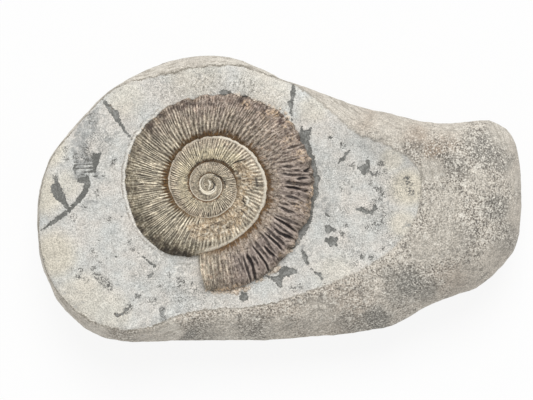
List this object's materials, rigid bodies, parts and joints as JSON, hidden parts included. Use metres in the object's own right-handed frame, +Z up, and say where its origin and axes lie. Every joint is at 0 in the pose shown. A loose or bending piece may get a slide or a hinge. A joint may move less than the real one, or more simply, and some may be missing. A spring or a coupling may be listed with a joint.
{
  "type": "ammonite fossil in matrix",
  "caption": "Coiled ribbed ammonite shell seated in the dressed face of a rounded limestone nodule, lying face up.",
  "frame": {"origin": "under the middle of the nodule's box, on the surface it rests on", "axes": "+X along the nodule towards its raised lobe, +Y across it, +Z up out of the dressed face"},
  "size_m": [0.1744, 0.1038, 0.0431],
  "materials": {
    "limestone": "fine matt grain, dressed pale on the face and weathered on the rind",
    "fossil_shell": "ribbed mineralised shell, matt with a faint sheen on the rib crests"
  },
  "bodies": {
    "root": {"nodule": "limestone", "ammonite": "fossil_shell"}
  },
  "joints": []
}
